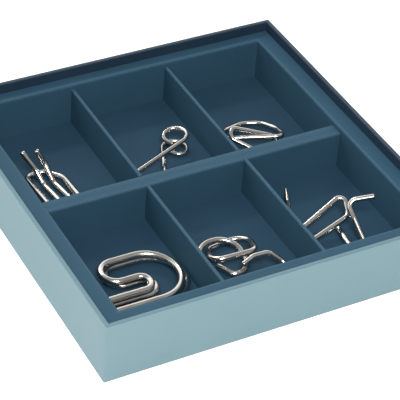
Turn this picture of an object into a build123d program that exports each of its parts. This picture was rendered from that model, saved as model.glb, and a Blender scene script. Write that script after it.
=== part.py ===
from build123d import *

import os
from math import atan2, degrees

os.makedirs("parts", exist_ok=True)

# Boxed set of six bent-wire disentanglement puzzles.
# Units are millimetres. The origin is the centre of the box's underside, +Z is up and
# -Y is the front. Local layout values below are measured from the box's front left corner.

# ---- outer box -------------------------------------------------------------------------
BOX_W = 200.0  # outside width, X
BOX_D = 200.0  # outside depth, Y
BOX_H = 36.0  # outside height
WRAP_T = 0.4  # printed paper wrap on the outside
BOARD_T = 1.9  # greyboard of the base and the four walls
LINING_T = 0.3  # dark paper on the inside of the walls
WRAP_LIFT = 0.4  # the wrap stops this far above the table

# ---- card insert -----------------------------------------------------------------------
CARD_T = 1.0  # insert card
LEDGE_DROP = 5.8  # from the rim down to the ledge
MARGIN_LEFT = 13.7  # outside face to the opening
MARGIN_RIGHT = 11.9
MARGIN_FRONT = 13.9
MARGIN_BACK = 9.5
DIVIDER_DROP = 9.0  # from the rim down to the tops of the dividers
RIB_W = 8.7  # long centre rib
RIB_SHORT = 2.0  # the rib's top strip stops this far before the right wall
DIVIDER_T = 2.0  # short dividers
DIVIDER_X = {"left": 70.4, "right": 128.3}  # left face of each short divider
FLOOR_Z = 5.0  # top of the compartments' floor
BEARER_X = 40.0  # outside face to the card bearer under the floor
BEARER_W = 12.0
BEARER_END = 10.0  # the bearers stop this far from the outside faces

# ---- wire ------------------------------------------------------------------------------
THICK_R = 2.0  # radius of the wire of puzzle 1
THIN_R = 1.6  # puzzles 2, 3 and 4
FINE_R = 1.25  # puzzle 5
RING_WIRE_R = 1.4  # puzzle 6
REST_GAP = 0.3  # clearance under and between loose pieces
POINT_R = 0.45  # radius of the blunt tip of a pointed wire
END_ROUND = 0.55  # rounding of a wire's cut end, as a share of its radius

THICK_Z = FLOOR_Z + REST_GAP + THICK_R  # centre line of a wire lying on the floor
THIN_Z = FLOOR_Z + REST_GAP + THIN_R
FINE_Z = FLOOR_Z + REST_GAP + FINE_R

# ---- worked out ------------------------------------------------------------------------
wall_in = WRAP_T + BOARD_T + LINING_T  # outside face to the lined inside face
ledge_z = BOX_H - LEDGE_DROP
divider_z = BOX_H - DIVIDER_DROP
open_x0 = MARGIN_LEFT
open_x1 = BOX_W - MARGIN_RIGHT
open_y0 = MARGIN_FRONT
open_y1 = BOX_D - MARGIN_BACK
rib_y = (open_y0 + open_y1) / 2
rib_y0 = rib_y - RIB_W / 2
rib_y1 = rib_y + RIB_W / 2

to_origin = Location((-BOX_W / 2, -BOX_D / 2, 0))
nodes = {}


def block(x0, x1, y0, y1, z0, z1):
    """A board given by its two corners in the layout frame."""
    size = (x1 - x0, y1 - y0, z1 - z0)
    middle = ((x0 + x1) / 2, (y0 + y1) / 2, (z0 + z1) / 2)
    return Pos(*middle) * Box(*size)


def add(name, shape):
    nodes[name] = to_origin * shape


def bent_wire(points, radii, wire_radius, closed=False, point_length=0.0):
    """A round wire bent at each corner of a route of straight runs.

    Cut ends are rounded. With a point_length, the route's end is drawn out to a point.
    """
    path = FilletPolyline(*points, radius=radii, close=closed)
    start = Plane(origin=path @ 0, z_dir=path % 0)
    wire = sweep(start * Circle(wire_radius), path=path)
    if closed:
        return wire
    tips = [path @ 0]
    if point_length:
        seat = Plane(origin=path @ 1, z_dir=path % 1)
        cone = Cone(wire_radius, POINT_R, point_length, align=(Align.CENTER, Align.CENTER, Align.MIN))
        wire += seat * cone
    else:
        tips.append(path @ 1)
    rims = []
    for tip in tips:
        face = wire.faces().filter_by(GeomType.PLANE).sort_by_distance(tip)[0]
        rims += face.edges()
    return fillet(rims, END_ROUND * wire_radius)


# ---- box: base, walls, wrap, lining ----------------------------------------------------
skin = WRAP_T
core = WRAP_T + BOARD_T
wall_top = BOX_H - WRAP_T

add("base_board", block(skin, BOX_W - skin, skin, BOX_D - skin, 0, BOARD_T))
add("wall_front", block(skin, BOX_W - skin, skin, core, BOARD_T, wall_top))
add("wall_back", block(skin, BOX_W - skin, BOX_D - core, BOX_D - skin, BOARD_T, wall_top))
add("wall_left", block(skin, core, core, BOX_D - core, BOARD_T, wall_top))
add("wall_right", block(BOX_W - core, BOX_W - skin, core, BOX_D - core, BOARD_T, wall_top))

wrap_hull = block(0, BOX_W, 0, BOX_D, WRAP_LIFT, BOX_H)
wrap_core = block(skin, BOX_W - skin, skin, BOX_D - skin, WRAP_LIFT, wall_top)
wrap_mouth = block(core, BOX_W - core, core, BOX_D - core, wall_top, BOX_H)
add("outer_wrap", wrap_hull - wrap_core - wrap_mouth)

lining_hull = block(core, BOX_W - core, core, BOX_D - core, BOARD_T, BOX_H)
lining_bore = block(wall_in, BOX_W - wall_in, wall_in, BOX_D - wall_in, BOARD_T, BOX_H)
add("wall_lining", lining_hull - lining_bore)

# ---- insert: floor, ledge, compartment walls -------------------------------------------
inner_x1 = BOX_W - wall_in
inner_y1 = BOX_D - wall_in
ledge_under = ledge_z - CARD_T
floor_under = FLOOR_Z - CARD_T

add("insert_floor", block(wall_in, inner_x1, wall_in, inner_y1, floor_under, FLOOR_Z))
add("ledge_front", block(wall_in, inner_x1, wall_in, open_y0, ledge_under, ledge_z))
add("ledge_back", block(wall_in, inner_x1, open_y1, inner_y1, ledge_under, ledge_z))
add("ledge_left", block(wall_in, open_x0, open_y0, open_y1, ledge_under, ledge_z))
add("ledge_right", block(open_x1, inner_x1, open_y0, open_y1, ledge_under, ledge_z))

side_x0 = open_x0 - CARD_T
side_x1 = open_x1 + CARD_T
end_y0 = open_y0 - CARD_T
end_y1 = open_y1 + CARD_T
add("insert_wall_front", block(side_x0, side_x1, end_y0, open_y0, FLOOR_Z, ledge_under))
add("insert_wall_back", block(side_x0, side_x1, open_y1, end_y1, FLOOR_Z, ledge_under))
add("insert_wall_left", block(side_x0, open_x0, open_y0, open_y1, FLOOR_Z, ledge_under))
add("insert_wall_right", block(open_x1, side_x1, open_y0, open_y1, FLOOR_Z, ledge_under))

# The floor stands on two card bearers glued to the base board.
bearer_y1 = BOX_D - BEARER_END
for side, x0 in (("left", BEARER_X), ("right", BOX_W - BEARER_X - BEARER_W)):
    bearer = block(x0, x0 + BEARER_W, BEARER_END, bearer_y1, BOARD_T, floor_under)
    add(f"floor_bearer_{side}", bearer)

# ---- insert: centre rib and short dividers ---------------------------------------------
rib_under = divider_z - CARD_T
rib_end = open_x1 - RIB_SHORT
add("rib_front", block(open_x0, open_x1, rib_y0, rib_y0 + CARD_T, FLOOR_Z, rib_under))
add("rib_back", block(open_x0, open_x1, rib_y1 - CARD_T, rib_y1, FLOOR_Z, rib_under))
add("rib_top", block(open_x0, rib_end, rib_y0, rib_y1, rib_under, divider_z))

for row, y0, y1 in (("front", open_y0, rib_y0), ("back", rib_y1, open_y1)):
    for side, x0 in DIVIDER_X.items():
        add(f"divider_{row}_{side}", block(x0, x0 + DIVIDER_T, y0, y1, FLOOR_Z, divider_z))


# ---- puzzle 1, front left: two clips, one laid on the other ----------------------------
CLIP_LENGTH = 37.8
CLIP_R = 17.4  # large end bend
TONGUE_R = 5.2  # end bend of the inner tongue
CLIP_TIGHT_R = 7.7  # bend between the outer and the inner run
TONGUE_SHORT = 17.4  # the tongue stops this far before the large bend
RUN_OUT = 7.0  # the two cut ends reach this far past the tight bend
STRAIGHT = 0.2  # shortest straight left between two bends
clip_level = 2 * THICK_R + 0.4


def clip(right, front, z):
    """A paper-clip shape: outer run, large bend, outer run, tight bend, tongue."""
    left = right - CLIP_LENGTH
    far = front + 2 * CLIP_R + STRAIGHT
    tongue_far = far - 2 * CLIP_TIGHT_R - STRAIGHT
    tongue_near = tongue_far - 2 * TONGUE_R - STRAIGHT
    tongue_x = right - TONGUE_SHORT
    route = [
        (left - RUN_OUT, front),
        (right, front),
        (right, far),
        (left, far),
        (left, tongue_far),
        (tongue_x, tongue_far),
        (tongue_x, tongue_near),
        (left - RUN_OUT, tongue_near),
    ]
    bends = [CLIP_R, CLIP_R, CLIP_TIGHT_R, CLIP_TIGHT_R, TONGUE_R, TONGUE_R]
    return bent_wire([(x, y, z) for x, y in route], bends, THICK_R)


add("clip_lower", clip(67.9, 32.4, THICK_Z))
add("clip_upper", clip(64.5, 31.6, THICK_Z + clip_level))

# ---- puzzle 2, front middle: a ring with a hooked tail, and a long loop through it -----
RING_R = 11.0
ring_x0 = 78.4
ring_x1 = 101.6
ring_near = 37.8
ring_far = 60.8
RING_RISE = 4.9
ring_route = [
    (95.6, 38.0, 11.6),
    (102.6, 39.2, 14.2),
    (110.8, 38.2, 14.7),
    (116.8, 33.0, 10.6),
    (118.0, 23.0, THIN_Z),
    (ring_x0, 23.0, THIN_Z),
    (ring_x0, ring_far, THIN_Z + RING_RISE),
    (ring_x1, ring_far, THIN_Z + RING_RISE),
    (ring_x1, ring_near, THIN_Z),
    (91.0, ring_near, THIN_Z),
    (86.2, 47.4, THIN_Z),
]
ring_bends = [4.5, 5.0, 5.0, 4.5, 6.0, RING_R, RING_R, 8.0, 4.0]
add("hooked_ring", bent_wire(ring_route, ring_bends, THIN_R))

LOOP_TILT = (0.048, -0.342)  # rise per mm along X and along Y
loop_plan = [(82.8, 46.4), (106.6, 43.4), (112.2, 64.4), (86.6, 60.0)]
loop_near_z = 11.6  # height of its first corner
first_x, first_y = loop_plan[0]
loop_route = [
    (x, y, loop_near_z + LOOP_TILT[0] * (x - first_x) + LOOP_TILT[1] * (y - first_y))
    for x, y in loop_plan
]
loop_bends = [6.0, 5.0, 8.0, 6.0]
add("long_loop", bent_wire(loop_route, loop_bends, THIN_R, closed=True))

# ---- puzzle 3, front right: a hairpin with a standing prong, and a hook over one leg ---
hairpin_route = [
    (136.5, 43.4, THIN_Z),
    (165.6, 49.3, 13.2),
    (168.8, 60.9, 19.0),
    (137.0, 53.6, THIN_Z + 0.3),
    (140.8, 68.4, THIN_Z + 0.3),
    (141.1, 72.4, 14.6),
]
hairpin_bends = [4.5, 3.4, 4.0, 2.6]
prong_point = 6.0  # length of the standing prong's point
hairpin = bent_wire(hairpin_route, hairpin_bends, THIN_R, point_length=prong_point)
add("prong_hairpin", hairpin)

hook_route = [
    (178.4, 46.2, 24.2),
    (165.4, 52.8, 20.2),
    (165.2, 43.8, 15.4),
    (165.6, 30.5, THIN_Z),
    (157.4, 30.5, THIN_Z),
    (158.4, 41.0, THIN_Z + 0.1),
    (159.6, 49.4, THIN_Z + 0.1),
]
hook_bends = [4.0, 4.5, 3.8, 3.8, 4.0]
add("leg_hook", bent_wire(hook_route, hook_bends, THIN_R))

# ---- puzzle 4, back left: a two-pronged hairpin threaded through a wide loop -----------
WIDE_LOOP_NEAR = (111.6, 13.6)  # Y and Z of the loop's near side, over the hairpin
WIDE_LOOP_FALL = 0.158  # the loop slopes down to the floor towards the back
wide_loop_plan = [
    (24.8, 111.6),
    (42.4, 111.6),
    (43.8, 142.4),
    (36.6, 153.0),
    (25.8, 151.8),
]
near_y, near_z = WIDE_LOOP_NEAR
wide_loop_route = [(x, y, near_z - WIDE_LOOP_FALL * (y - near_y)) for x, y in wide_loop_plan]
wide_loop_bends = [7.0, 7.0, 9.0, 6.0, 5.0]
add("wide_loop", bent_wire(wide_loop_route, wide_loop_bends, THIN_R, closed=True))

prong_route = [
    (25.1, 155.0, 22.2),
    (30.6, 149.0, 12.8),
    (32.4, 142.0, THIN_Z + 0.1),
    (36.0, 112.6, THIN_Z),
    (43.2, 112.6, THIN_Z),
    (38.0, 141.8, THIN_Z + 0.1),
    (36.6, 150.4, 14.2),
    (32.7, 153.6, 22.2),
]
prong_bends = [6.0, 4.5, 3.4, 3.4, 4.5, 6.0]
add("twin_prong", bent_wire(prong_route, prong_bends, THIN_R))

# ---- puzzle 5, back middle: two pigtails -----------------------------------------------
EYE_TIP_R = 4.6  # last bend of the eye, before its tip


def pigtail(origin, heading, side, length, eye, levels, drops):
    """A straight shaft that ends in an eye; the eye's tip turns back to the shaft.

    heading points from the eye to the tail, and side is +1 or -1 for an eye on the left
    or the right of it. levels are the heights of the shaft at the eye and at the tail.
    drops are how far the eye's far side and its tip hang below the shaft.
    """
    along = Vector(*heading).normalized()
    across = Vector(-along.Y, along.X) * side
    span = 2 * eye + STRAIGHT
    z_eye, z_tail = levels
    far_drop, tip_drop = drops
    tip = (0.5 * eye, 0.6 * eye)
    plan = [(length, 0), (-eye, 0), (-eye, span), (eye + 0.6, span), tip]
    fall = (z_eye - z_tail) / (length + eye)
    route = []
    for u, v in plan:
        place = Vector(*origin) + along * u + across * v
        z = z_eye - fall * (u + eye) - far_drop * v / span
        route.append((place.X, place.Y, z))
    x, y, z = route[-1]
    route[-1] = (x, y, z - tip_drop)
    return bent_wire(route, [eye, eye, EYE_TIP_R], FINE_R)


lower_pigtail = pigtail((105.6, 147.0), (-0.397, -0.918), 1, 38.0, 6.8, (FINE_Z, FINE_Z), (0, 0))
add("pigtail_lower", lower_pigtail)
upper_pigtail = pigtail((114.2, 139.8), (-0.966, -0.256), -1, 38.0, 6.4, (15.4, 7.6), (0.9, 2.2))
add("pigtail_upper", upper_pigtail)

# ---- puzzle 6, back right: two D rings linked through each other -----------------------
D_CENTRE = Vector(153.3, 129.7)
D_LEVEL = 12.3  # height at the centre, the same for both rings
D_ALONG = Vector(0.923, -0.386)  # direction of both straight bars
D_ACROSS = Vector(0.386, 0.923)


def d_ring(plan, slope_along, slope_across, bends):
    """A closed ring from its corners, along and across from the centre, in a tilted plane."""
    route = []
    for u, n in plan:
        place = D_CENTRE + D_ALONG * u + D_ACROSS * n
        route.append((place.X, place.Y, D_LEVEL + slope_along * u + slope_across * n))
    return bent_wire(route, bends, RING_WIRE_R, closed=True)


back_plan = [(-18.2, 0), (17.4, 0), (14.0, 11.8), (6.5, 19.9), (-4.5, 19.9), (-15.4, 10.6)]
back_ring = d_ring(back_plan, 0.05, -0.25, [3.5, 3.5, 13.0, 9.5, 9.5, 12.0])
add("d_ring_back", back_ring)

front_plan = [(-12.6, 3.2), (13.0, 3.2), (12.4, -5.6), (4.0, -8.6), (-13.2, -3.2)]
front_ring = d_ring(front_plan, -0.235, 0.44, [3.0, 3.6, 5.0, 8.0, 3.2])
add("d_ring_front", front_ring)

for name, shape in nodes.items():
    export_step(shape, f"parts/{name}.step")
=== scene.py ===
import math

import bmesh
import bpy
from mathutils import Matrix, Vector, noise


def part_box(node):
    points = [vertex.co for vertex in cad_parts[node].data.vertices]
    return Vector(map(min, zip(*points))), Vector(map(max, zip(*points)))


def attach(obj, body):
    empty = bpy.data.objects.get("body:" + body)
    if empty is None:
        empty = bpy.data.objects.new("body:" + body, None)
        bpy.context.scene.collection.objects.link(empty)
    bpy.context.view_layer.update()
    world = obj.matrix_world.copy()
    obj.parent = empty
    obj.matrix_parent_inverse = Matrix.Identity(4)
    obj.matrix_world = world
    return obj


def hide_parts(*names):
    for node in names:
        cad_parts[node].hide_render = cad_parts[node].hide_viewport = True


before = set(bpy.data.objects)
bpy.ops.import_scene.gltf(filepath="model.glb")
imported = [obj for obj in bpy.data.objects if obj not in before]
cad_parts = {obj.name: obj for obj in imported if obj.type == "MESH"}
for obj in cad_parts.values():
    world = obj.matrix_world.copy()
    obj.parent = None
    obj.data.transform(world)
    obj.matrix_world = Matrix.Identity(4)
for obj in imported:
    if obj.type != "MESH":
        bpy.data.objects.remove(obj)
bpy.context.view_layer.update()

MM = 0.001
scene = bpy.context.scene


# ---------------------------------------------------------------- camera
CAMERA_AIM = (-0.0038, -0.0138, 0.018)
CAMERA_DISTANCE = 0.9574
CAMERA_AZIMUTH = -31.02  # 0 looks along +Y, 90 along -X
CAMERA_ELEVATION = 38.45
CAMERA_ROLL = 5.0
CAMERA_LENS = 165.2
CAMERA_SENSOR = 36.0
CAMERA_CLIP = (0.01, 20.0)


def make_camera():
    azimuth, elevation = math.radians(CAMERA_AZIMUTH), math.radians(CAMERA_ELEVATION)
    back = Vector((
        math.sin(azimuth) * math.cos(elevation),
        -math.cos(azimuth) * math.cos(elevation),
        math.sin(elevation),
    ))
    data = bpy.data.cameras.new("camera")
    data.lens = CAMERA_LENS
    data.sensor_width = CAMERA_SENSOR
    camera = bpy.data.objects.new("camera", data)
    scene.collection.objects.link(camera)
    turn = (-back).to_track_quat("-Z", "Y").to_matrix().to_4x4()
    roll = Matrix.Rotation(math.radians(CAMERA_ROLL), 4, "Z")
    camera.matrix_world = Matrix.Translation(Vector(CAMERA_AIM) + back * CAMERA_DISTANCE) @ turn @ roll
    data.clip_start, data.clip_end = CAMERA_CLIP
    scene.camera = camera


make_camera()


# ---------------------------------------------------------------- shader helpers
def new_material(name):
    material = bpy.data.materials.new(name)
    material.use_nodes = True
    nodes = material.node_tree.nodes
    return material, nodes, material.node_tree.links, nodes["Principled BSDF"]


def object_coordinates(nodes):
    return nodes.new("ShaderNodeTexCoord").outputs["Object"]


def noise_field(nodes, links, where, scale, detail=4.0, roughness=0.55):
    field = nodes.new("ShaderNodeTexNoise")
    field.inputs["Scale"].default_value = scale
    field.inputs["Detail"].default_value = detail
    field.inputs["Roughness"].default_value = roughness
    links.new(where, field.inputs["Vector"])
    return field.outputs["Fac"]


def remap(nodes, links, value, low, high, to_low, to_high):
    step = nodes.new("ShaderNodeMapRange")
    step.inputs["From Min"].default_value = low
    step.inputs["From Max"].default_value = high
    step.inputs["To Min"].default_value = to_low
    step.inputs["To Max"].default_value = to_high
    links.new(value, step.inputs["Value"])
    return step.outputs["Result"]


def mix_colour(nodes, links, factor, first, second, blend="MIX"):
    mix = nodes.new("ShaderNodeMix")
    mix.data_type = "RGBA"
    mix.blend_type = blend
    for socket, value in ((mix.inputs[0], factor), (mix.inputs[6], first), (mix.inputs[7], second)):
        if isinstance(value, (tuple, float, int)):
            socket.default_value = (*value, 1.0) if isinstance(value, tuple) else value
        else:
            links.new(value, socket)
    return mix.outputs[2]


def math_node(nodes, links, operation, first, second):
    node = nodes.new("ShaderNodeMath")
    node.operation = operation
    for socket, value in ((node.inputs[0], first), (node.inputs[1], second)):
        if isinstance(value, (float, int)):
            socket.default_value = value
        else:
            links.new(value, socket)
    return node.outputs["Value"]


def bump(nodes, links, shader, heights):
    """Chains (height, distance in metres, strength) bumps, coarse first, into the shader."""
    previous = None
    for height, distance, strength in heights:
        node = nodes.new("ShaderNodeBump")
        node.inputs["Distance"].default_value = distance
        node.inputs["Strength"].default_value = strength
        links.new(height, node.inputs["Height"])
        if previous:
            links.new(previous, node.inputs["Normal"])
        previous = node.outputs["Normal"]
    links.new(previous, shader.inputs["Normal"])


def mesh_value(nodes, name):
    """The meshes below mark each point: "edge" is how worn it is, and on the insert card also where a
    painted highlight lies along its folds; "print" which tone is printed there.
    """
    node = nodes.new("ShaderNodeAttribute")
    node.attribute_name = name
    return node.outputs["Fac"]


# ---------------------------------------------------------------- materials
# Noise scales, in cycles a metre.
CLOUD_SCALE = 22.0  # slow variation of tone over a sheet
SPECK_SCALE = 900.0
FIBRE_SCALE = 2600.0
WIRE_FILM_SCALE = 90.0
WIRE_WAVE_SCALE = 260.0
WIRE_SCUFF_SCALE = 1400.0
FLAT_TONE = 0.35  # share of the flat colour in a cloudy sheet
WIRE_WARM = (0.54, 0.51, 0.47)
WIRE_BRIGHT = (0.66, 0.64, 0.61)


def paper_material(
    name, colour, light, dark, edge_colour, roughness,
    fibre=FIBRE_SCALE, edge_amount=0.5, specular=0.4, prints=(),
):
    """Cloudy, fibrous paper or card. Each of prints is (tone, start, full) along the "print" value."""
    material, nodes, links, shader = new_material(name)
    where = object_coordinates(nodes)
    cloud = noise_field(nodes, links, where, CLOUD_SCALE, 3.0)
    fibres = noise_field(nodes, links, where, fibre, 5.0, 0.6)
    specks = noise_field(nodes, links, where, SPECK_SCALE, 2.0, 0.5)
    tone = mix_colour(nodes, links, remap(nodes, links, cloud, 0.35, 0.65, 0.0, 1.0), dark, light)
    tone = mix_colour(nodes, links, FLAT_TONE, tone, colour)
    for printed, start, full in prints:
        share = remap(nodes, links, mesh_value(nodes, "print"), start, full, 0.0, 1.0)
        tone = mix_colour(nodes, links, share, tone, printed)
    grain = remap(nodes, links, fibres, 0.3, 0.7, 0.93, 1.07)
    shade = nodes.new("ShaderNodeCombineColor")
    for channel in ("Red", "Green", "Blue"):
        links.new(grain, shade.inputs[channel])
    tone = mix_colour(nodes, links, 1.0, tone, shade.outputs["Color"], "MULTIPLY")
    # Mixes edge_colour in by the "edge" value, in specks: rubbed wear, and on the insert card's folds
    # also a painted highlight.
    patchy = remap(nodes, links, specks, 0.4, 0.62, 0.35, 1.0)
    wear_and_fold_highlight = math_node(nodes, links, "MULTIPLY", mesh_value(nodes, "edge"), patchy)
    wear_and_fold_highlight = math_node(nodes, links, "MULTIPLY", wear_and_fold_highlight, edge_amount)
    tone = mix_colour(nodes, links, wear_and_fold_highlight, tone, edge_colour)
    links.new(tone, shader.inputs["Base Color"])
    rough = remap(nodes, links, cloud, 0.3, 0.7, roughness - 0.05, roughness + 0.06)
    links.new(rough, shader.inputs["Roughness"])
    shader.inputs["Specular IOR Level"].default_value = specular
    bump(nodes, links, shader, [(cloud, 0.0004, 0.25), (specks, 0.00004, 0.25), (fibres, 0.00002, 0.4)])
    return material


def wire_material():
    material, nodes, links, shader = new_material("polished_nickel_wire")
    where = object_coordinates(nodes)
    film = noise_field(nodes, links, where, WIRE_FILM_SCALE, 3.0)
    scuffs = noise_field(nodes, links, where, WIRE_SCUFF_SCALE, 4.0, 0.65)
    waves = noise_field(nodes, links, where, WIRE_WAVE_SCALE, 2.0)
    share = remap(nodes, links, film, 0.3, 0.7, 0.0, 1.0)
    tone = mix_colour(nodes, links, share, WIRE_WARM, WIRE_BRIGHT)
    links.new(tone, shader.inputs["Base Color"])
    shader.inputs["Metallic"].default_value = 1.0
    rough = math_node(
        nodes, links, "ADD",
        remap(nodes, links, film, 0.3, 0.7, 0.16, 0.22),
        remap(nodes, links, scuffs, 0.5, 0.75, 0.0, 0.06),
    )
    links.new(rough, shader.inputs["Roughness"])
    bump(nodes, links, shader, [(waves, 0.0003, 0.03), (scuffs, 0.00001, 0.06)])
    return material


RIM_PALE = (0.125, 0.225, 0.265)
RIM_DARK = (0.020, 0.036, 0.056)
WRAP = paper_material(
    "wrap_printed_paper", (0.184, 0.293, 0.321), (0.190, 0.301, 0.330), (0.176, 0.282, 0.310),
    (0.21, 0.32, 0.35), 0.5, edge_amount=0.12, specular=0.25,
    prints=((RIM_PALE, 0.1, 0.45), (RIM_DARK, 0.6, 0.95)),
)
LINING = paper_material(
    "lining_dark_paper", (0.018, 0.038, 0.064), (0.020, 0.042, 0.070), (0.016, 0.034, 0.057),
    (0.04, 0.07, 0.10), 0.6, edge_amount=0.3, specular=0.12,
)
# The insert card's lighter edge colour, half mixed in along its folds, is a painted highlight on the fold
# lines as well as wear.
CARD = paper_material(
    "insert_teal_card", (0.032, 0.084, 0.130), (0.034, 0.088, 0.137), (0.029, 0.078, 0.121),
    (0.070, 0.140, 0.190), 0.55, edge_amount=0.5, specular=0.1,
)
# A darker copy of the insert card for the compartment floors: its extra darkness is painted shade from
# the walls round them.
FLOOR_CARD_PAINTED_SHADE = paper_material(
    "insert_floor_card_painted_shade", (0.023, 0.059, 0.096), (0.025, 0.066, 0.105), (0.020, 0.052, 0.086),
    (0.040, 0.090, 0.130), 0.6, edge_amount=0.3, specular=0.12,
)
BOARD = paper_material(
    "greyboard_pulp", (0.34, 0.33, 0.30), (0.38, 0.36, 0.33), (0.30, 0.29, 0.26),
    (0.45, 0.43, 0.40), 0.8, fibre=1400.0, edge_amount=0.3,
)
WIRE = wire_material()


# ---------------------------------------------------------------- mesh helpers
SMOOTH_ANGLE = 40.0


def finish_piece(name, mesh_data, material, body, replaces):
    piece = bpy.data.objects.new(name, mesh_data)
    scene.collection.objects.link(piece)
    mesh_data.materials.append(material)
    mesh_data.polygons.foreach_set("use_smooth", [True] * len(mesh_data.polygons))
    mesh_data.set_sharp_from_angle(angle=math.radians(SMOOTH_ANGLE))
    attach(piece, body)
    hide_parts(*replaces)


def mesh_from(name, vertices, faces, edge_values, print_values=None):
    mesh_data = bpy.data.meshes.new(name)
    mesh_data.from_pydata(vertices, [], faces)
    wear = mesh_data.attributes.new("edge", "FLOAT", "POINT")
    wear.data.foreach_set("value", edge_values)
    if print_values:
        tones = mesh_data.attributes.new("print", "FLOAT", "POINT")
        tones.data.foreach_set("value", print_values)
    shell = bmesh.new()
    shell.from_mesh(mesh_data)
    bmesh.ops.recalc_face_normals(shell, faces=shell.faces)
    shell.to_mesh(mesh_data)
    shell.free()
    return mesh_data


def waver(point, amount, size=0.035, seed=0.0):
    """A small smooth displacement, as hand-folded card has. It isn't the same on each run."""
    where = Vector(point) / size + Vector((seed, seed * 1.7, -seed))
    return Vector(noise.noise_vector(where)) * amount


CORNER_STEPS = 5
SIDE_STEPS = 28


def rectangle_loop(x0, x1, y0, y1, z, radius):
    """Points round a rectangle with rounded corners, the same number for every rectangle."""
    radius = max(radius, 0.00002)
    corners = [
        (x1 - radius, y0 + radius, -90.0),
        (x1 - radius, y1 - radius, 0.0),
        (x0 + radius, y1 - radius, 90.0),
        (x0 + radius, y0 + radius, 180.0),
    ]
    points = []
    for x, y, start in corners:
        for step in range(CORNER_STEPS + 1):
            turn = math.radians(start + 90.0 * step / CORNER_STEPS)
            points.append(Vector((x + radius * math.cos(turn), y + radius * math.sin(turn), z)))
    loop = []
    count = len(points)
    for i, point in enumerate(points):
        loop.append(point)
        if i % (CORNER_STEPS + 1) == CORNER_STEPS:
            after = points[(i + 1) % count]
            loop.extend(point.lerp(after, step / SIDE_STEPS) for step in range(1, SIDE_STEPS))
    return loop


def ring_mesh(name, stations, wobble=0.0, seed=0.0, printed=None):
    """A closed ring lofted through rectangles: (x0, x1, y0, y1, z, corner radius, edge value: wear, and
    on card folds a painted highlight).

    printed, if given, turns a vertex into its "print" value.
    """
    vertices, wear, faces = [], [], []
    for x0, x1, y0, y1, z, radius, edge in stations:
        for point in rectangle_loop(x0, x1, y0, y1, z, radius):
            vertices.append(point + waver(point, wobble, seed=seed))
            wear.append(edge)
    count = len(vertices) // len(stations)
    for i in range(len(stations)):
        a, b = i * count, (i + 1) % len(stations) * count
        for j in range(count):
            k = (j + 1) % count
            faces.append((a + j, a + k, b + k, b + j))
    return mesh_from(name, vertices, faces, wear, [printed(v) for v in vertices] if printed else None)


def bar_mesh(name, profile, start, end, axis, wobble=0.0, steps=40, seed=0.0):
    """A closed profile carried straight along X or Y. The profile is (across, z, edge value: wear plus a
    painted highlight on the folds).
    """
    vertices, wear, faces = [], [], []
    for step in range(steps + 1):
        along = start + (end - start) * step / steps
        for across, z, edge in profile:
            point = Vector((along, across, z)) if axis == "X" else Vector((across, along, z))
            vertices.append(point + waver(point, wobble, seed=seed))
            wear.append(edge)
    count = len(profile)
    for i in range(steps):
        for j in range(count):
            k = (j + 1) % count
            a, b = i * count, (i + 1) * count
            faces.append((a + j, a + k, b + k, b + j))
    faces.append(tuple(range(count - 1, -1, -1)))
    faces.append(tuple(range(steps * count, (steps + 1) * count)))
    return mesh_from(name, vertices, faces, wear)


def arc(centre_across, centre_z, radius, start, end, steps, edge):
    """Profile points on an arc; angles in degrees, 0 along +across and 90 up."""
    points = []
    for step in range(steps + 1):
        turn = math.radians(start + (end - start) * step / steps)
        points.append((centre_across + radius * math.cos(turn), centre_z + radius * math.sin(turn), edge))
    return points


# ---------------------------------------------------------------- frame sizes
wrap_lo, wrap_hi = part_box("outer_wrap")
lining_lo, lining_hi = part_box("wall_lining")
board_lo, board_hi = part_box("wall_left")
floor_lo, floor_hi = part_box("insert_floor")
ledge_left_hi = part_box("ledge_left")[1]
ledge_right_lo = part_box("ledge_right")[0]
ledge_front_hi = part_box("ledge_front")[1]
ledge_back_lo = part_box("ledge_back")[0]
ledge_z = ledge_left_hi.z
ledge_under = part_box("ledge_left")[0].z
floor_z = floor_hi.z
opening = (ledge_left_hi.x, ledge_right_lo.x, ledge_front_hi.y, ledge_back_lo.y)
wall_core = board_hi.x - wrap_lo.x  # outside face to the inside face of the board


def inset(low, high, amount):
    return low.x + amount, high.x - amount, low.y + amount, high.y - amount


def grown(amount):
    x0, x1, y0, y1 = opening
    return x0 - amount, x1 + amount, y0 - amount, y1 + amount


# ---------------------------------------------------------------- box
WRAP_ROUND = 0.45 * MM  # rounding of the rim's outer edge
WRAP_ROUND_IN = 0.35 * MM
TURNED_OVER = 0.9 * MM  # the dark print reaches this far down outside the back and right rims
WRAP_CORNER = 0.9 * MM  # rounding of the upright corners
PAPER = 0.38 * MM


def rim_print(point):
    """0 down the outside, 0.5 on top of the front and left rims, 1 over the other two rims."""
    near = min(point.x - wrap_lo.x, point.y - wrap_lo.y)
    far = min(wrap_hi.x - point.x, wrap_hi.y - point.y)
    if near < far:
        return 0.5 if point.z > wrap_hi.z - WRAP_ROUND * 0.8 else 0.0
    return 1.0 if point.z > wrap_hi.z - WRAP_ROUND - TURNED_OVER else 0.0


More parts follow.
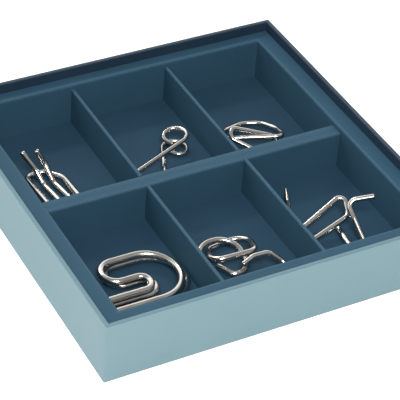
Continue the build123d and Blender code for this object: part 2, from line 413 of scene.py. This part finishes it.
def make_wrap():
    low, high = wrap_lo, wrap_hi
    stations = []

    def add(amount, z, edge):
        stations.append((*inset(low, high, amount), z, WRAP_CORNER - amount, edge))

    add(0.25 * MM, low.z, 0.8)
    add(0.0, low.z + 0.3 * MM, 0.9)
    add(0.0, low.z + 1.2 * MM, 0.0)
    for share in (0.25, 0.5, 0.75):
        add(0.0, low.z + (high.z - low.z) * share, 0.0)
    add(0.0, high.z - WRAP_ROUND - 0.8 * MM, 0.0)
    for step in range(5):
        turn = math.radians(90.0 * step / 4)
        add(WRAP_ROUND * (1 - math.cos(turn)), high.z - WRAP_ROUND * (1 - math.sin(turn)), 1.0)
    for step in range(5):
        turn = math.radians(90.0 * step / 4)
        across = wall_core - WRAP_ROUND_IN * (1 - math.sin(turn))
        add(across, high.z - WRAP_ROUND_IN * (1 - math.cos(turn)), 0.6)
    add(wall_core, high.z - PAPER - 0.02 * MM, 0.3)
    add(PAPER, high.z - PAPER - 0.02 * MM, 0.0)
    add(PAPER, low.z, 0.0)
    finish_piece(
        "box_wrap", ring_mesh("box_wrap", stations, 0.06 * MM, 3.1, rim_print),
        WRAP, "tray", ["outer_wrap"],
    )


def make_lining():
    stations = []
    thickness = 0.3 * MM

    def add(amount, z, edge):
        stations.append((*inset(lining_lo, lining_hi, amount), z, 0.6 * MM - amount, edge))

    top = lining_hi.z - 0.15 * MM
    add(0.02 * MM, top, 0.9)
    add(thickness, top - 0.1 * MM, 0.9)
    add(thickness, top - 0.8 * MM, 0.0)
    add(thickness, (top + ledge_z) / 2, 0.0)
    add(thickness, ledge_z, 0.0)
    add(thickness, lining_lo.z, 0.0)
    add(0.02 * MM, lining_lo.z, 0.0)
    finish_piece(
        "box_lining", ring_mesh("box_lining", stations, 0.05 * MM, 8.4),
        LINING, "tray", ["wall_lining"],
    )


# ---------------------------------------------------------------- insert
FOLD_R = 1.2 * MM
CARD_T = ledge_z - ledge_under
FLOOR_STEPS = 48
FLOOR_SAG = 0.12 * MM
FLOOR_WAVES = 30  # bows a metre
RIB_FOLD_R = 0.8 * MM
DIVIDER_ROUND = 0.75 * MM


def make_ledge():
    """The ledge and the compartments' outer walls: one card, folded down round the opening."""
    stations = []

    def add(rectangle, z, radius, edge):
        stations.append((*rectangle, z, radius, edge))

    outer = inset(lining_lo, lining_hi, 0.32 * MM)
    add(outer, ledge_z, 0.3 * MM, 0.0)
    for share in (0.33, 0.66):
        middle = tuple(a + (b - a) * share for a, b in zip(outer, grown(FOLD_R + 0.6 * MM)))
        add(middle, ledge_z, 0.5 * MM, 0.0)
    add(grown(FOLD_R + 0.6 * MM), ledge_z, 0.8 * MM, 0.0)
    # The rounded fold gets edge value 0.8, which lightens it: wear plus a painted highlight along the
    # fold.
    for step in range(7):
        turn = math.radians(90.0 * step / 6)
        add(grown(FOLD_R * (1 - math.sin(turn))), ledge_z - FOLD_R * (1 - math.cos(turn)), 0.8 * MM, 0.8)
    add(grown(0.0), ledge_z - FOLD_R - 0.8 * MM, 0.8 * MM, 0.0)
    for share in (0.35, 0.7, 1.0):
        add(grown(0.0), ledge_z - FOLD_R - (ledge_z - FOLD_R - floor_z) * share, 0.8 * MM, 0.0)
    add(grown(CARD_T), floor_z, 1.2 * MM, 0.0)
    add(grown(CARD_T), ledge_under, 1.2 * MM, 0.0)
    add(outer, ledge_under, 0.3 * MM, 0.0)
    sides = ("front", "back", "left", "right")
    replaced = [f"{part}_{side}" for part in ("ledge", "insert_wall") for side in sides]
    finish_piece(
        "insert_ledge", ring_mesh("insert_ledge", stations, 0.16 * MM, 1.3),
        CARD, "tray", replaced,
    )


def make_floor():
    """The compartments' floor, a card that bows a little between its bearers. Its darker card colour is
    painted shade.
    """
    low, high = floor_lo, floor_hi
    steps = FLOOR_STEPS
    vertices, wear, faces = [], [], []
    for layer_z in (high.z, low.z):
        for i in range(steps + 1):
            for j in range(steps + 1):
                x = low.x + (high.x - low.x) * i / steps
                y = low.y + (high.y - low.y) * j / steps
                sag = FLOOR_SAG * noise.noise(Vector((x * FLOOR_WAVES, y * FLOOR_WAVES, 2.0)))
                vertices.append((x, y, layer_z + min(0.0, sag)))
                wear.append(0.0)
    row, sheet = steps + 1, (steps + 1) ** 2
    for i in range(steps):
        for j in range(steps):
            a = i * row + j
            quad = (a, a + row, a + row + 1, a + 1)
            faces.append(quad)
            faces.append(tuple(sheet + v for v in reversed(quad)))
    rim = [i * row for i in range(steps)] + [steps * row + j for j in range(steps)]
    rim += [i * row + steps for i in range(steps, 0, -1)] + list(range(steps, 0, -1))
    for a, b in zip(rim, rim[1:] + rim[:1]):
        faces.append((b, a, sheet + a, sheet + b))
    finish_piece(
        "compartment_floor", mesh_from("compartment_floor", vertices, faces, wear),
        FLOOR_CARD_PAINTED_SHADE, "tray", ["insert_floor"],
    )


def folded_profile(low, high, top, under, radius, thickness):
    """An upside-down U of folded card across a rib: outer skin, then inner skin."""
    middle_z, unworn_z = (under + top) / 2, top - radius - 0.8 * MM
    profile = [(low, under, 0.0), (low, middle_z, 0.0), (low, unworn_z, 0.0)]
    # The rounded top corners get edge value 0.8: wear plus a painted highlight along them.
    profile += arc(low + radius, top - radius, radius, 180.0, 90.0, 5, 0.8)
    profile += [((low + high) / 2, top, 0.0)]
    profile += arc(high - radius, top - radius, radius, 90.0, 0.0, 5, 0.8)
    profile += [(high, unworn_z, 0.0), (high, middle_z, 0.0), (high, under, 0.0)]
    profile += [(high - thickness, under, 0.0), (high - thickness, top - thickness, 0.0)]
    profile += [(low + thickness, top - thickness, 0.0), (low + thickness, under, 0.0)]
    return profile


def make_rib():
    top_lo, top_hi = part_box("rib_top")
    side_lo, side_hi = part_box("rib_front")
    profile = folded_profile(top_lo.y, top_hi.y, top_hi.z, floor_z, RIB_FOLD_R, CARD_T)
    finish_piece(
        "centre_rib", bar_mesh("centre_rib", profile, side_lo.x, side_hi.x, "X", 0.12 * MM, 60, 5.0),
        CARD, "tray", ["rib_top", "rib_front", "rib_back"],
    )


def make_divider(row, side):
    node = f"divider_{row}_{side}"
    low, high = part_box(node)
    radius = DIVIDER_ROUND
    middle_z, unworn_z = (low.z + high.z) / 2, high.z - radius - 0.7 * MM
    profile = [(low.x, low.z, 0.0), (low.x, middle_z, 0.0), (low.x, unworn_z, 0.0)]
    # The rounded top edge gets edge value 0.9: wear plus a painted highlight along it.
    profile += arc(low.x + radius, high.z - radius, radius, 180.0, 90.0, 5, 0.9)
    profile += arc(high.x - radius, high.z - radius, radius, 90.0, 0.0, 5, 0.9)
    profile += [(high.x, unworn_z, 0.0), (high.x, middle_z, 0.0), (high.x, low.z, 0.0)]
    seed = 11.0 + 3.0 * (row == "back") + 5.0 * (side == "right")
    finish_piece(
        f"{row}_{side}_divider", bar_mesh(node, profile, low.y, high.y, "Y", 0.12 * MM, 30, seed),
        CARD, "tray", [node],
    )


make_wrap()
make_lining()
make_ledge()
make_floor()
make_rib()
for row in ("front", "back"):
    for side in ("left", "right"):
        make_divider(row, side)

# ---------------------------------------------------------------- CAD nodes that stay
BOARD_NODES = [
    "base_board", "wall_front", "wall_back", "wall_left", "wall_right",
    "floor_bearer_left", "floor_bearer_right",
]
WIRE_NODES = [
    "clip_lower", "clip_upper", "hooked_ring", "long_loop", "prong_hairpin", "leg_hook",
    "wide_loop", "twin_prong", "pigtail_lower", "pigtail_upper", "d_ring_back", "d_ring_front",
]
for names, material in ((BOARD_NODES, BOARD), (WIRE_NODES, WIRE)):
    for name in names:
        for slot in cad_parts[name].material_slots:
            slot.material = material


# ---------------------------------------------------------------- stage and light
STAGE_HALF = 6.0  # metres
STAGE_WHITE = (0.93, 0.93, 0.93, 1)
STAGE_GLOW = 0.35
STUDIO_DIM = 0.38  # brightness of the studio all round
STUDIO_BACKDROP = 1.6  # and of the low backdrop behind the box
WHITE = (1.0, 1.0, 1.0, 1)
LIGHTS = {  # name: place in metres, size in metres, watts; each is aimed at the origin
    "key": ((-0.5, -1.05, 1.35), (0.6, 0.6), 25.0),
    "rim": ((-0.1, 1.0, 1.05), (0.5, 0.15), 3.0),
}


def make_stage():
    data = bpy.data.meshes.new("floor")
    half = STAGE_HALF
    corners = [(-half, -half, 0), (half, -half, 0), (half, half, 0), (-half, half, 0)]
    data.from_pydata(corners, [], [(0, 1, 2, 3)])
    floor = bpy.data.objects.new("floor", data)
    scene.collection.objects.link(floor)
    material, nodes, links, shader = new_material("pale_floor")
    shader.inputs["Base Color"].default_value = STAGE_WHITE
    shader.inputs["Roughness"].default_value = 0.9
    shader.inputs["Specular IOR Level"].default_value = 0.1
    shader.inputs["Emission Color"].default_value = WHITE
    shader.inputs["Emission Strength"].default_value = STAGE_GLOW
    data.materials.append(material)


def area_light(name, place, size, power):
    data = bpy.data.lights.new(name, "AREA")
    data.shape = "RECTANGLE"
    data.size, data.size_y = size
    data.energy = power
    light = bpy.data.objects.new(name, data)
    scene.collection.objects.link(light)
    light.location = place
    light.rotation_euler = (-Vector(place)).to_track_quat("-Z", "Y").to_euler()


def make_world():
    """A dim white studio with a pale backdrop low behind the box, which the wires mirror."""
    world = bpy.data.worlds.new("studio")
    scene.world = world
    world.use_nodes = True
    nodes, links = world.node_tree.nodes, world.node_tree.links
    way = nodes.new("ShaderNodeSeparateXYZ")
    links.new(nodes.new("ShaderNodeTexCoord").outputs["Generated"], way.inputs["Vector"])
    behind = remap(nodes, links, way.outputs["Y"], 0.0, 0.5, 0.0, 1.0)
    below_top = remap(nodes, links, way.outputs["Z"], 0.55, 0.85, 1.0, 0.0)
    backdrop = math_node(nodes, links, "MULTIPLY", behind, below_top)
    strength = remap(nodes, links, backdrop, 0.0, 1.0, STUDIO_DIM, STUDIO_BACKDROP)
    background = nodes["Background"]
    background.inputs["Color"].default_value = WHITE
    links.new(strength, background.inputs["Strength"])


make_stage()
for name, (place, size, power) in LIGHTS.items():
    area_light(name, place, size, power)
make_world()
scene.view_settings.view_transform = "Standard"
scene.view_settings.look = "None"
